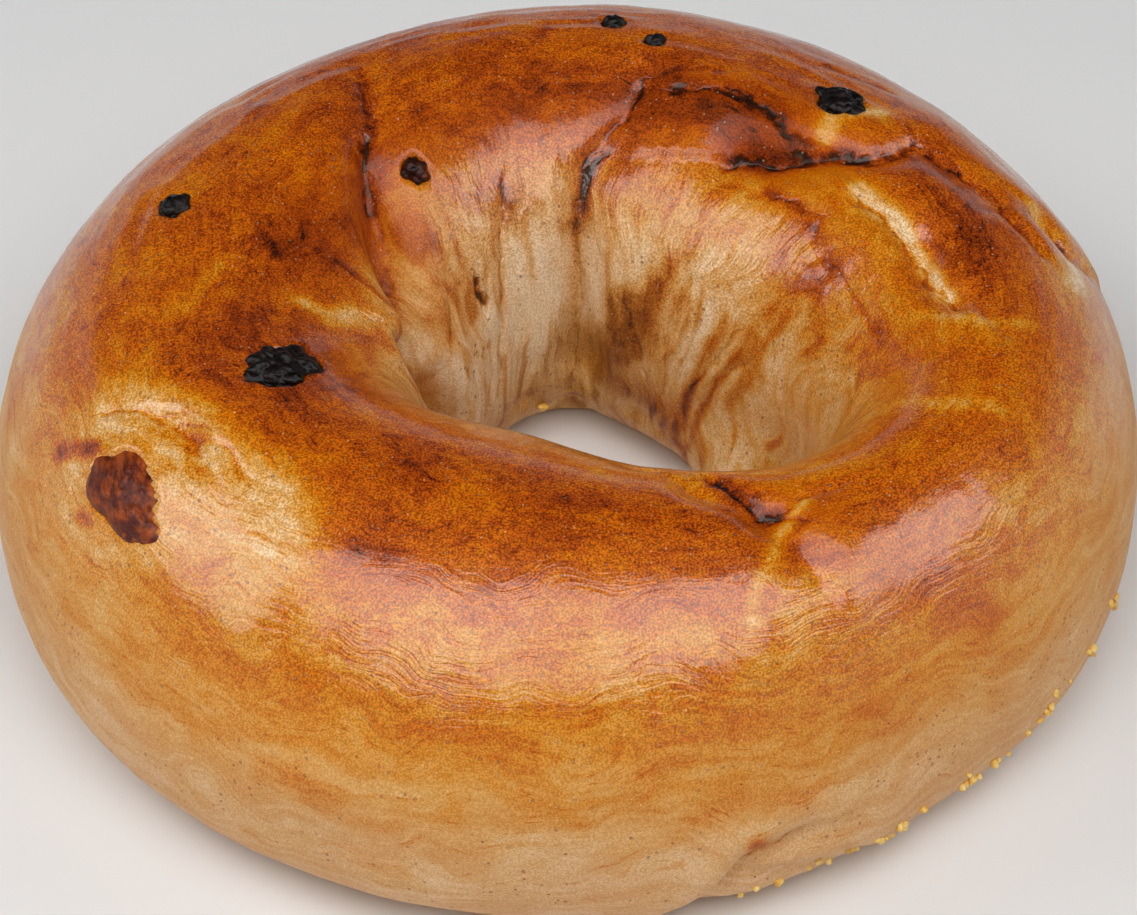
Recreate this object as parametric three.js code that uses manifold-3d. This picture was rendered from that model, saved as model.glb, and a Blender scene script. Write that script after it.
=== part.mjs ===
// A raisin bagel: a ring of hand-rolled dough, boiled and baked, resting on its flat underside.
// Millimetres, +Z up. The origin is the middle of the ring on the surface that it stands on.
// Two angles, in degrees, name a place on the crust. "around" goes round the ring: 0 at the right (+X), 90
// at the back (+Y), 270 at the front. "over" goes round the dough: 0 on the outer side, 90 on the crown,
// 180 in the hole.
import * as THREE from "three";
import { mergeVertices } from "three/addons/utils/BufferGeometryUtils.js";
import Module from "manifold-3d";

// Driving dimensions of the ring.
const OUTER_RADIUS = 57.5;
const HOLE_RADIUS = 15.6;
const RING_HEIGHT = 43;
const WIDEST_AT = 0.37; // share of the height at which the ring is widest
const SQUARENESS = 0.73; // 1 gives a round lower half, less gives a squarer one
const SETTLED = 0.8; // how far the dough has sunk flat onto its base

// How the ring departs from a round one. Each wave has so many crests round the ring, one of them at peakAt.
const OUTER_WAVES = [
  { crests: 2, amount: 2.2, peakAt: 17 },
  { crests: 3, amount: 0.35, peakAt: 60 },
  { crests: 4, amount: 0.35, peakAt: 80 },
];
const HOLE_WAVES = [
  { crests: 1, amount: 4.1, peakAt: -15 },
  { crests: 2, amount: 4.5, peakAt: -24 },
  { crests: 3, amount: 2.4, peakAt: -30 },
];
const HEIGHT_WAVES = [{ crests: 1, amount: 1.1, peakAt: 143 }];
const FLATTENED_EDGE = { around: 312, spread: 16, amount: -0.9 };

// Folds and seams that the rolling left: a path of [around, over], the depth at its start and end, and the
// width. A step lifts the crust to the left of the path, seen from outside, where one roll of dough laps
// another. A step below nothing lifts the crust to the right.
const GROOVES = [
  {
    name: "left fold",
    path: [[124, 80], [137, 108], [147, 124], [160, 140], [171, 156]],
    depth: [0.5, 5.2],
    width: 2.6,
    step: 0,
  },
  {
    name: "left fold foot",
    path: [[177, 150], [173, 158], [165, 170], [157, 184]],
    depth: [3.6, 2.6],
    width: 2.0,
    step: 0.8,
  },
  {
    name: "left fold branch",
    path: [[141, 117], [147, 134], [157, 150], [161, 172], [160, 195]],
    depth: [0.4, 2.6],
    width: 2.6,
    step: 0.5,
  },
  {
    name: "back pleat",
    path: [[76, 100], [79, 120], [86, 132], [88, 150], [89, 180], [91, 225]],
    depth: [0.6, 3.4],
    width: 2.4,
    step: 0,
  },
  {
    name: "front seam",
    path: [[293, 104], [297, 94], [299, 84], [301, 66]],
    depth: [1.7, 0.6],
    width: 2.3,
    step: 0.5,
  },
  {
    name: "front seam branch",
    path: [[299, 86], [305, 91], [311, 90]],
    depth: [1.0, 0.3],
    width: 2.1,
    step: 0,
  },
  {
    name: "rear lap",
    path: [[50, 114], [42, 109], [34, 98], [29, 92], [28, 78], [17, 72]],
    depth: [1.7, 0.7],
    width: 2.8,
    step: 0.9,
  },
  {
    name: "right crack",
    path: [[22, 104], [10, 102], [2, 106], [356, 99]],
    depth: [0.5, 1.2],
    width: 2.1,
    step: -0.6,
  },
  {
    name: "rim crack",
    path: [[14, 56], [11, 51], [12, 41]],
    depth: [1.0, 0.5],
    width: 1.8,
    step: 0.6,
  },
  {
    name: "base flap",
    path: [[283, -33], [286, -20], [288, -5], [294, -2]],
    depth: [1.4, 1.1],
    width: 2.2,
    step: 1.0,
  },
  {
    name: "base flap branch",
    path: [[287, -13], [292, -19], [301, -28]],
    depth: [1.0, 0.6],
    width: 1.9,
    step: 0.6,
  },
  {
    name: "hole pleat left",
    path: [[113, 140], [112, 165], [110, 195]],
    depth: [0.3, 0.9],
    width: 1.8,
    step: 0,
  },
  {
    name: "hole pleat right",
    path: [[54, 150], [56, 170], [60, 195]],
    depth: [0.3, 1.0],
    width: 1.9,
    step: 0,
  },
];

// Swellings and hollows: a place, the reach in mm round the ring and over the dough, and the rise.
const MOUNDS = [
  { name: "front roll", at: [252, 88], reach: [26, 15], rise: 0.9 },
  { name: "left roll ridge", at: [177, 143], reach: [6, 11], rise: 2.0 },
  { name: "left blister", at: [207, 63], reach: [13, 9], rise: 1.0 },
  { name: "left blister rim", at: [216, 78], reach: [8, 3.5], rise: 0.8 },
  { name: "torn hollow", at: [211, 70], reach: [5, 2.5], rise: -0.9 },
  { name: "rear ridge", at: [57, 98], reach: [14, 3.5], rise: 0.9 },
  { name: "rear hollow", at: [47, 106], reach: [9, 4.5], rise: -0.9 },
  { name: "right mound", at: [12, 114], reach: [10, 8], rise: 0.8 },
  { name: "right pit", at: [7, 102], reach: [3.2, 2.6], rise: -1.2 },
  { name: "right hollow", at: [350, 112], reach: [14, 8], rise: -0.5 },
  { name: "lower front blister", at: [242, 13], reach: [7, 4.5], rise: 0.7 },
  { name: "lower right dent", at: [296, 8], reach: [16, 8], rise: -0.6 },
  { name: "left shoulder", at: [160, 66], reach: [22, 12], rise: 0.5 },
  { name: "hole foot", at: [22.5, 214], reach: [5.5, 5.5], rise: 4.2 },
  { name: "hole wall hollow", at: [46, 187], reach: [13.5, 13.5], rise: -1.2 },
];

// Raisins, sunk in the crust: the place of each, its extent round the ring, over the dough and through the
// crust, how far it is turned about the way out of the crust, how deep its middle lies, and how many lobes
// its edge has.
const RAISINS = [
  {
    name: "raisin_crown",
    at: [206.5, 102.5],
    size: [5.8, 8.6, 4.2],
    turned: 6,
    sunk: 0.9,
    lobes: 5,
    colour: 0x1c0f0c,
  },
  {
    name: "raisin_blister",
    at: [211.5, 51],
    size: [12.4, 7.8, 3.4],
    turned: -6,
    sunk: 1.1,
    lobes: 3,
    colour: 0x5f2410,
  },
  {
    name: "raisin_rear",
    at: [42.5, 84],
    size: [5.8, 5.0, 3.8],
    turned: 10,
    sunk: 1.0,
    lobes: 4,
    colour: 0x2a130d,
  },
  {
    name: "raisin_left",
    at: [168, 78],
    size: [3.2, 3.6, 3.2],
    turned: 20,
    sunk: 0.9,
    lobes: 3,
    colour: 0x16100f,
  },
  {
    name: "raisin_hole",
    at: [132, 120],
    size: [2.6, 3.2, 2.8],
    turned: 0,
    sunk: 0.8,
    lobes: 3,
    colour: 0x24100c,
  },
  {
    name: "raisin_back",
    at: [83.5, 79.5],
    size: [2.8, 2.4, 2.6],
    turned: 0,
    sunk: 0.8,
    lobes: 3,
    colour: 0x16100f,
  },
  {
    name: "raisin_back_small",
    at: [76, 87],
    size: [2.6, 2.2, 2.4],
    turned: 30,
    sunk: 0.8,
    lobes: 3,
    colour: 0x1a100d,
  },
];
const POCKET_CLEARANCE = 0.35; // room between a raisin and the dough round it
const LOBE_DEPTH = 0.09; // share of a raisin's radius
const LARGE_RAISIN = 5; // length from which a raisin has the finer faces
const RAISIN_DETAIL = { large: 4, small: 2 };

// The faces. The steps round the ring crowd together at the folds, and those over the dough at the crown.
const STEPS_AROUND = 104;
const STEPS_OVER = 44;
const CROWN_CROWDING = 0.34;
const CROWDED = [
  { around: 87, spread: 14, amount: 1.2 },
  { around: 162, spread: 22, amount: 0.9 },
  { around: 298, spread: 12, amount: 1.0 },
  { around: 20, spread: 20, amount: 0.6 },
];

const { degToRad } = THREE.MathUtils;
const turnsBetween = (a, b) => ((((a - b + 180) % 360) + 360) % 360) - 180;
const swell = (around, { around: at, spread, amount }) =>
  amount * Math.exp(-((turnsBetween(around, at) / spread) ** 2));
const wavy = (around, waves) =>
  waves.reduce((sum, w) => sum + w.amount * Math.cos(w.crests * degToRad(around - w.peakAt)), 0);

// The smooth ring, before its folds and swellings.
function smoothRing(around, over) {
  const outer = OUTER_RADIUS + wavy(around, OUTER_WAVES) + swell(around, FLATTENED_EDGE);
  const hole = HOLE_RADIUS + wavy(around, HOLE_WAVES);
  const height = RING_HEIGHT + wavy(around, HEIGHT_WAVES);
  const below = height * WIDEST_AT;
  const across = Math.cos(degToRad(over));
  const up = Math.sin(degToRad(over));
  const power = up < 0 ? SQUARENESS : 1;
  const outward = Math.sign(across) * Math.abs(across) ** power;
  const radius = (outer + hole) / 2 + ((outer - hole) / 2) * outward;
  const z = up < 0 ? below - below * Math.abs(up) ** power : below + (height - below) * up;
  const turn = degToRad(around);
  return new THREE.Vector3(radius * Math.cos(turn), radius * Math.sin(turn), z);
}

// The directions at a place on the smooth ring: round it, over the dough, and straight out.
function directions(around, over) {
  const small = 0.05;
  const round = smoothRing(around + small, over).sub(smoothRing(around - small, over)).normalize();
  const upward = smoothRing(around, over + small).sub(smoothRing(around, over - small)).normalize();
  return { round, upward, out: round.clone().cross(upward).normalize() };
}

const grooveLines = GROOVES.map((groove) => {
  const points = groove.path.map(([around, over]) => smoothRing(around, over));
  const lengths = points.slice(1).map((p, i) => p.distanceTo(points[i]));
  return { ...groove, points, lengths, total: lengths.reduce((a, b) => a + b, 0) };
});

function grooveRelief(groove, place, out) {
  let nearest = { distance: Infinity };
  let before = 0;
  groove.lengths.forEach((length, i) => {
    const start = groove.points[i];
    const along = groove.points[i + 1].clone().sub(start);
    const share = THREE.MathUtils.clamp(place.clone().sub(start).dot(along) / length ** 2, 0, 1);
    const offset = place.clone().sub(start.clone().addScaledVector(along, share));
    const distance = offset.length();
    if (distance < nearest.distance) {
      const side = Math.sign(out.dot(along.clone().cross(offset)));
      nearest = { distance, side, at: (before + share * length) / groove.total };
    }
    before += length;
  });
  const reach = nearest.distance / groove.width;
  if (reach > 6) return 0;
  const depth = THREE.MathUtils.lerp(...groove.depth, nearest.at);
  const lifted = groove.step * nearest.side > 0 ? Math.abs(groove.step) : 0;
  return -depth * Math.exp(-(reach ** 2)) + lifted * Math.tanh(reach) * Math.exp(-((reach / 3) ** 2));
}

const moundFrames = MOUNDS.map((mound) => ({
  ...mound,
  centre: smoothRing(...mound.at),
  ...directions(...mound.at),
}));

function moundRelief(mound, place) {
  const from = place.clone().sub(mound.centre);
  const round = from.dot(mound.round) / mound.reach[0];
  const upward = from.dot(mound.upward) / mound.reach[1];
  const depthways = from.dot(mound.out) / Math.max(...mound.reach);
  return mound.rise * Math.exp(-(round ** 2) - upward ** 2 - depthways ** 2);
}

// A place on the crust with its folds and swellings, settled onto its flat base, and how far they raise it.
function crust(around, over) {
  const place = smoothRing(around, over);
  const { out } = directions(around, over);
  const folded = grooveLines.reduce((sum, groove) => sum + grooveRelief(groove, place, out), 0);
  const relief = moundFrames.reduce((sum, mound) => sum + moundRelief(mound, place), folded);
  place.addScaledVector(out, relief);
  place.z = Math.max(0, place.z - SETTLED);
  return { place, relief };
}

// The angles of the steps round the ring, closer together where the folds are.
function anglesAround() {
  const samples = 1440;
  const total = [0];
  for (let i = 0; i < samples; i++) {
    const crowding = CROWDED.reduce((sum, place) => sum + swell((i * 360) / samples, place), 0);
    total.push(total[i] + 1 + crowding);
  }
  return Array.from({ length: STEPS_AROUND }, (_, step) => {
    const wanted = (total[samples] * step) / STEPS_AROUND;
    return (total.findIndex((t) => t >= wanted) * 360) / samples;
  });
}

// The angles of the steps over the dough, closest together on the crown and widest apart underneath.
function anglesOver() {
  return Array.from({ length: STEPS_OVER }, (_, step) => {
    const turn = (2 * Math.PI * step) / STEPS_OVER;
    return 90 + THREE.MathUtils.radToDeg(turn - CROWN_CROWDING * Math.sin(turn));
  });
}

const wasm = await Module();
wasm.setup();

function solidOf(geometry) {
  const bare = geometry.clone();
  bare.deleteAttribute("normal");
  bare.deleteAttribute("uv");
  const merged = mergeVertices(bare, 1e-3);
  return new wasm.Manifold(
    new wasm.Mesh({
      numProp: 3,
      vertProperties: merged.attributes.position.array,
      triVerts: new Uint32Array(merged.index.array),
    }),
  );
}

function geometryOf(solid) {
  const { vertProperties, triVerts } = solid.getMesh();
  const geometry = new THREE.BufferGeometry();
  geometry.setAttribute("position", new THREE.BufferAttribute(vertProperties, 3));
  geometry.setIndex(new THREE.BufferAttribute(triVerts, 1));
  geometry.computeVertexNormals();
  return geometry;
}

// The crust as a closed net of four-sided cells, which joins up with itself both round the ring and over the
// dough. Each cell is split between the two corners that are most alike in relief, so folds run along edges.
function ringGeometry() {
  const overs = anglesOver();
  const points = anglesAround().flatMap((around) => overs.map((over) => crust(around, over)));
  const unlike = (a, b) => Math.abs(points[a].relief - points[b].relief);
  const triangles = [];
  for (let i = 0; i < STEPS_AROUND; i++) {
    for (let j = 0; j < STEPS_OVER; j++) {
      const here = i * STEPS_OVER + j;
      const above = i * STEPS_OVER + ((j + 1) % STEPS_OVER);
      const beside = (here + STEPS_OVER) % points.length;
      const across = (above + STEPS_OVER) % points.length;
      if (unlike(here, across) <= unlike(beside, above)) {
        triangles.push(here, beside, across, here, across, above);
      } else {
        triangles.push(here, beside, above, beside, across, above);
      }
    }
  }
  const geometry = new THREE.BufferGeometry();
  const positions = points.flatMap(({ place }) => place.toArray());
  geometry.setAttribute("position", new THREE.Float32BufferAttribute(positions, 3));
  geometry.setIndex(triangles);
  return geometry;
}

// A raisin lying flat at the origin: a puckered lens, grown all round by the clearance where it stands for
// its pocket.
function raisinGeometry({ size, lobes }, clearance) {
  const detail = Math.max(...size) >= LARGE_RAISIN ? RAISIN_DETAIL.large : RAISIN_DETAIL.small;
  const geometry = new THREE.IcosahedronGeometry(1, detail);
  const position = geometry.attributes.position;
  const point = new THREE.Vector3();
  for (let i = 0; i < position.count; i++) {
    point.fromBufferAttribute(position, i);
    const bearing = Math.atan2(point.y, point.x);
    const level = Math.hypot(point.x, point.y);
    const lobed = Math.cos(lobes * bearing + 1) + 0.6 * Math.cos((lobes + 3) * bearing);
    point.multiplyScalar(1 + LOBE_DEPTH * level * lobed);
    point.multiply(new THREE.Vector3(...size.map((length) => length / 2 + clearance)));
    position.setXYZ(i, point.x, point.y, point.z);
  }
  return geometry;
}

function raisinMesh(raisin) {
  const material = new THREE.MeshStandardMaterial({ color: raisin.colour, roughness: 0.35, metalness: 0 });
  const mesh = new THREE.Mesh(raisinGeometry(raisin, 0), material);
  mesh.name = raisin.name;
  const { round, upward, out } = directions(...raisin.at);
  mesh.position.copy(crust(...raisin.at).place).addScaledVector(out, -raisin.sunk);
  mesh.quaternion.setFromRotationMatrix(new THREE.Matrix4().makeBasis(round, upward, out));
  mesh.rotateZ(degToRad(raisin.turned));
  mesh.updateMatrixWorld();
  return mesh;
}

function bagelMesh(raisins) {
  const pockets = raisins.map((mesh, i) =>
    solidOf(raisinGeometry(RAISINS[i], POCKET_CLEARANCE).applyMatrix4(mesh.matrixWorld)),
  );
  const dough = pockets.reduce((solid, pocket) => solid.subtract(pocket), solidOf(ringGeometry()));
  const material = new THREE.MeshStandardMaterial({ color: 0xb9732c, roughness: 0.45, metalness: 0 });
  const mesh = new THREE.Mesh(geometryOf(dough), material);
  mesh.name = "bagel";
  return mesh;
}

const raisins = RAISINS.map(raisinMesh);
const part = new THREE.Group();
part.add(bagelMesh(raisins), ...raisins);

export default part;
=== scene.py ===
"""A raisin bagel: a hand-rolled ring with a glazed, unevenly browned crust, resting on a pale floor."""
import bpy
import bmesh
import random
from math import cos, pi, radians, sin
import numpy as np
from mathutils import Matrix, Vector


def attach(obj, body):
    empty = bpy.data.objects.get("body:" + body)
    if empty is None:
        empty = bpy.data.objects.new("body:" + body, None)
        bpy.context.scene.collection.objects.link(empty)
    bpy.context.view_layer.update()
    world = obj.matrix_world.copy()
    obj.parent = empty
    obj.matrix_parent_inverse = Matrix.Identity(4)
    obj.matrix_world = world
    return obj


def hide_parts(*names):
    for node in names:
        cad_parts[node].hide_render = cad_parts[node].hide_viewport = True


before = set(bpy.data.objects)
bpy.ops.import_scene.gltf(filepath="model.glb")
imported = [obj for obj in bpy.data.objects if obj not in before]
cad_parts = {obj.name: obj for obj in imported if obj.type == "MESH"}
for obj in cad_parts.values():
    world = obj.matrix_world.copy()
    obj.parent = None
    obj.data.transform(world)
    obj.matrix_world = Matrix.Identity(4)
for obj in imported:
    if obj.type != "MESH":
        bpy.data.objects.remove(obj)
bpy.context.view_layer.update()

MM = 0.001
random.seed(7)

# The ring, in millimetres and degrees. Two angles name a place on the crust. "around" goes round the
# ring: 0 at the right (+X), 90 at the back, 270 at the front. "over" goes round the dough: 0 outside,
# 90 at the crown, 180 in the hole.
OUTER_RADIUS = 57.5
HOLE_RADIUS = 15.6
RING_HEIGHT = 43
WIDEST_AT = 0.37
SQUARENESS = 0.73
SETTLED = 0.8
OUTER_WAVES = [(2, 2.2, 17), (3, 0.35, 60), (4, 0.35, 80)]
HOLE_WAVES = [(1, 4.1, -15), (2, 4.5, -24), (3, 2.4, -30)]
HEIGHT_WAVES = [(1, 1.1, 143)]
FLATTENED_EDGE = (312, 16, -0.9)

# Folds and seams: path of (around, over), depth at the start and end, width, and step up on one side,
# which is the left of the path where it is positive.
GROOVES = {
    "left fold": ([(124, 80), (137, 108), (147, 124), (160, 140), (171, 156)], (0.5, 5.2), 2.6, 0),
    "left fold's foot": ([(177, 150), (173, 158), (165, 170), (157, 184)], (3.6, 2.6), 2.0, 0.8),
    "left fold branch": (
        [(141, 117), (147, 134), (157, 150), (161, 172), (160, 195)],
        (0.4, 2.6), 2.6, 0.5,
    ),
    "back pleat": (
        [(76, 100), (79, 120), (86, 132), (88, 150), (89, 180), (91, 225)],
        (0.6, 3.4), 2.4, 0,
    ),
    "front seam": ([(293, 104), (297, 94), (299, 84), (301, 66)], (1.7, 0.6), 2.3, 0.5),
    "front seam branch": ([(299, 86), (305, 91), (311, 90)], (1.0, 0.3), 2.1, 0),
    "rear lap": ([(50, 114), (42, 109), (34, 98), (29, 92), (28, 78), (17, 72)], (1.7, 0.7), 2.8, 0.9),
    "right crack": ([(22, 104), (10, 102), (2, 106), (356, 99)], (0.5, 1.2), 2.1, -0.6),
    "rim crack": ([(14, 56), (11, 51), (12, 41)], (1.0, 0.5), 1.8, 0.6),
    "base flap": ([(283, -33), (286, -20), (288, -5), (294, -2)], (1.4, 1.1), 2.2, 1.0),
    "base flap branch": ([(287, -13), (292, -19), (301, -28)], (1.0, 0.6), 1.9, 0.6),
    "hole pleat left": ([(113, 140), (112, 165), (110, 195)], (0.3, 0.9), 1.8, 0),
    "hole pleat right": ([(54, 150), (56, 170), (60, 195)], (0.3, 1.0), 1.9, 0),
}

# Swellings and hollows: place, reach round the ring and over the dough, rise.
MOUNDS = {
    "front roll": ((252, 88), (26, 15), 0.9),
    "left roll ridge": ((177, 143), (6, 11), 2.0),
    "left blister": ((207, 63), (13, 9), 1.0),
    "left blister rim": ((216, 78), (8, 3.5), 0.8),
    "torn hollow": ((211, 70), (5, 2.5), -0.9),
    "rear ridge": ((57, 98), (14, 3.5), 0.9),
    "rear hollow": ((47, 106), (9, 4.5), -0.9),
    "right mound": ((12, 114), (10, 8), 0.8),
    "right pit": ((7, 102), (3.2, 2.6), -1.2),
    "right hollow": ((350, 112), (14, 8), -0.5),
    "lower front blister": ((242, 13), (7, 4.5), 0.7),
    "lower right dent": ((296, 8), (16, 8), -0.6),
    "left shoulder": ((160, 66), (22, 12), 0.5),
    "hole foot": ((22.5, 214), (5.5, 5.5), 4.2),
    "hole wall hollow": ((46, 187), (13.5, 13.5), -1.2),
}

# Thin dark lines where a fold closes or the glaze ran together; the ones in the wall's slit and under the
# torn crust are painted shade. Lines of one family (0, 1 or 2) keep apart from each other: family, path of
# (around, over), half width in mm, depth in mm, darkness.
LINES = {
    "left fold's right edge": (
        0, [(136, 104), (140, 112), (145, 123), (148, 134), (158, 144), (167, 153), (173, 161)],
        0.30, 0.55, 0.5,
    ),
    "left fold's left edge": (1, [(155, 130), (164, 136), (168, 140), (174, 148)], 0.25, 0.35, 0.4),
    "left fold's lip": (2, [(181, 143), (177, 153), (172, 160), (164, 170), (158, 178)], 0.30, 0.6, 0.3),
    "wall line by the fold": (
        1, [(109, 130), (112, 140), (116, 150), (119, 162), (122, 172), (123, 184)],
        0.16, 0.3, 0.5,
    ),
    "wall line behind the slit": (1, [(140, 147), (148, 159), (156, 168)], 0.16, 0.2, 0.35),
    "wall line at the foot": (2, [(128, 168), (128, 178), (132, 192)], 0.14, 0.2, 0.4),
    "back pleat": (
        0, [(76, 104), (78, 114), (82, 120), (87, 127), (88, 145), (88, 168), (91, 198)],
        0.24, 0.45, 0.5,
    ),
    "back pleat's branch": (1, [(82, 124), (85, 131), (88, 139)], 0.28, 0.3, 0.5),
    "right wall line": (0, [(43, 146), (44, 158), (44, 182), (46, 200)], 0.24, 0.2, 0.4),
    "patch line": (1, [(66, 160), (59, 167), (54, 180), (53, 196)], 0.2, 0.15, 0.4),
    "right wall streak": (1, [(25, 163), (31, 174), (34, 186), (37, 204)], 0.24, 0.15, 0.5),
    "second right wall streak": (2, [(17, 161), (24, 171), (29, 182)], 0.2, 0.1, 0.4),
    "third right wall streak": (0, [(22, 154), (25, 163)], 0.16, 0.1, 0.4),
    "rear crease": (
        0, [(51, 116), (47, 111), (43, 110), (39, 105), (35, 100), (30, 94), (29, 88), (30, 80)],
        0.36, 0.6, 0.6,
    ),
    "upper rear crease": (
        1, [(69, 103), (60, 99), (54, 99), (47, 100), (41, 102), (36, 100)],
        0.3, 0.3, 0.5,
    ),
    "top crease": (2, [(74, 100), (69, 97), (62, 93)], 0.26, 0.2, 0.35),
    "glaze line on the rim": (
        2, [(29, 78), (24, 75), (20, 72), (17, 70), (12, 69), (7, 64)],
        0.28, 0.3, 0.5,
    ),
    "rear shoulder line": (1, [(51, 72), (46, 68), (42, 66)], 0.3, 0.2, 0.4),
    "right mound's edge": (
        2, [(49, 121), (40, 120), (29, 117), (23, 115), (21, 121), (17, 124), (4, 126), (354, 126)],
        0.24, 0.2, 0.4,
    ),
    "pale mound's tip": (0, [(18, 128), (15, 123), (12, 127), (12, 135)], 0.12, 0.15, 0.15),
    "right crack's lip": (1, [(21, 106), (13, 106), (7, 106), (1, 106), (355, 99)], 0.22, 0.4, 0.8),
    "scab's slit": (1, [(14, 59), (12.5, 54), (12, 48)], 0.42, 0.5, 1.3),
    "front seam": (0, [(296, 112), (298.5, 98), (299, 90), (303, 82)], 0.26, 0.4, 0.6),
    "front seam's branch": (1, [(300, 87), (305, 91), (311, 90)], 0.22, 0.2, 0.4),
    "base flap": (2, [(283, -33), (286, -20), (288, -5), (294, -2)], 0.22, 0.4, 0.7),
    "blister's torn crust": (
        0, [(201, 58), (203, 64), (206, 67), (208, 72), (213, 75)],
        0.22, 0.35, 0.5,
    ),
    # Painted shade in the hollow under the torn crust.
    "painted shade under the torn crust": (1, [(208, 69), (212, 71), (215, 70)], 0.34, 0.4, 0.6),
    # The slit's near-black line is painted shade of the deep slit, over a shallow groove.
    "painted shade in the wall's slit": (2, [(128, 152), (126.5, 159)], 0.26, 0.6, 2.2),
    "fold's upper mark": (2, [(127, 82), (130, 92), (132, 99), (135, 105)], 0.3, 0.25, 0.3),
    "blister's torn edge": (1, [(205, 68), (211, 71), (218, 74), (224, 71)], 0.22, 0.25, 0.3),
}
FAMILIES = 3

# The fine net of faces that carries the crust's paint.
STEPS_AROUND = 520
STEPS_OVER = 184
CROWN_CROWDING = 0.5


def wavy(around, waves):
    return sum(amount * np.cos(crests * np.radians(around - peak)) for crests, amount, peak in waves)


def apart(around, other):
    return (around - other + 180) % 360 - 180


def bump(x, centre, half):
    return np.exp(-((x - centre) / half) ** 2)


def swell(around, at, spread, amount):
    return amount * bump(apart(around, at), 0, spread)


def step_up(x, at, soft):
    """0 well below a value and 1 well above it, with a soft edge. A negative edge turns it round."""
    return 1 / (1 + np.exp(np.clip(-(x - at) / soft, -30, 30)))


def level_of(over):
    """The angle over the dough as a number from -90, the underside, by way of the crown to 270."""
    return (over + 90) % 360 - 90


def smooth_ring(around, over):
    """Points of the smooth ring, in millimetres."""
    around, over = np.broadcast_arrays(np.asarray(around, float), np.asarray(over, float))
    outer = OUTER_RADIUS + wavy(around, OUTER_WAVES) + swell(around, *FLATTENED_EDGE)
    hole = HOLE_RADIUS + wavy(around, HOLE_WAVES)
    height = RING_HEIGHT + wavy(around, HEIGHT_WAVES)
    below = height * WIDEST_AT
    across = np.cos(np.radians(over))
    up = np.sin(np.radians(over))
    outward = np.sign(across) * np.abs(across) ** np.where(up < 0, SQUARENESS, 1)
    radius = (outer + hole) / 2 + (outer - hole) / 2 * outward
    z = np.where(up < 0, below - below * np.abs(up) ** SQUARENESS, below + (height - below) * up)
    turn = np.radians(around)
    return np.stack([radius * np.cos(turn), radius * np.sin(turn), z], -1)


def unit(vectors):
    return vectors / np.linalg.norm(vectors, axis=-1, keepdims=True)


def directions(around, over):
    """Round the ring, over the dough and straight out, at places on the smooth ring."""
    small = 0.05
    around, over = np.asarray(around, float), np.asarray(over, float)
    round_ring = unit(smooth_ring(around + small, over) - smooth_ring(around - small, over))
    upward = unit(smooth_ring(around, over + small) - smooth_ring(around, over - small))
    return round_ring, upward, unit(np.cross(round_ring, upward))


def path_distance(places, out, path):
    """How far each place is from a path over the smooth ring, on which side, and how far along it."""
    points = smooth_ring([p[0] for p in path], [p[1] for p in path])
    lengths = np.linalg.norm(np.diff(points, axis=0), axis=1)
    nearest = np.full(len(places), np.inf)
    side = np.zeros(len(places))
    along = np.zeros(len(places))
    before = 0
    for start, end, length in zip(points, points[1:], lengths):
        run = end - start
        share = np.clip((places - start) @ run / length ** 2, 0, 1)
        offset = places - start - share[:, None] * run
        distance = np.linalg.norm(offset, axis=1)
        closer = distance < nearest
        turned = np.sign((out * np.cross(run, offset)).sum(1))
        nearest = np.where(closer, distance, nearest)
        side = np.where(closer, turned, side)
        along = np.where(closer, (before + share * length) / lengths.sum(), along)
        before += length
    return nearest, side, along


def groove_relief(places, out, groove):
    path, depths, width, step = groove
    nearest, side, along = path_distance(places, out, path)
    reach = nearest / width
    depth = depths[0] + (depths[1] - depths[0]) * along
    lifted = np.where(step * side > 0, abs(step), 0)
    return -depth * np.exp(-reach ** 2) + lifted * np.tanh(reach) * np.exp(-(reach / 3) ** 2)


def mound_relief(places, mound):
    at, reach, rise = mound
    round_ring, upward, out = directions(*at)
    offset = places - smooth_ring(*at)
    sideways = offset @ round_ring / reach[0]
    ahead = offset @ upward / reach[1]
    outward = offset @ out / max(reach)
    return rise * np.exp(-sideways ** 2 - ahead ** 2 - outward ** 2)


def noise(places, size, seed):
    """Smooth random values from -1 to 1 over the places, with features of about that many mm."""
    table = np.random.default_rng(seed).uniform(-1, 1, 4096)
    cells = places / size + 1000
    low = np.floor(cells).astype(np.int64)
    part = cells - low
    part = part * part * (3 - 2 * part)
    total = np.zeros(len(places))
    for corner in np.ndindex(2, 2, 2):
        weight = np.prod(np.where(corner, part, 1 - part), axis=1)
        cell = low + corner
        total += weight * table[(cell @ np.array([1, 157, 1021]) * 31 + seed) % 4096]
    return total


def rough_noise(places, size, seed, layers=3):
    """Noise with finer noise on top."""
    return sum(noise(places, size / 2 ** i, seed + i) / 2 ** i for i in range(layers)) / 1.5


# How far the crust is baked, from 0, pale dough, to 1, burnt. Each row is a place over the dough, and the
# bake there at the back, the left, the front and the right of the ring.
BAKE_ROWS = [
    (-90, 0.20, 0.20, 0.20, 0.20),
    (-30, 0.20, 0.20, 0.20, 0.20),
    (5, 0.26, 0.26, 0.27, 0.26),
    (22, 0.34, 0.32, 0.36, 0.33),
    (36, 0.46, 0.40, 0.42, 0.38),
    (52, 0.56, 0.50, 0.44, 0.46),
    (68, 0.62, 0.56, 0.56, 0.58),
    (84, 0.63, 0.60, 0.65, 0.60),
    (100, 0.65, 0.65, 0.58, 0.50),
    (115, 0.63, 0.65, 0.52, 0.41),
    (128, 0.36, 0.50, 0.46, 0.42),
    (140, 0.16, 0.32, 0.46, 0.32),
    (158, 0.06, 0.20, 0.50, 0.26),
    (180, 0.12, 0.20, 0.44, 0.30),
    (196, 0.34, 0.34, 0.40, 0.24),
    (215, 0.34, 0.34, 0.34, 0.28),
    (270, 0.20, 0.20, 0.20, 0.20),
]
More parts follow.
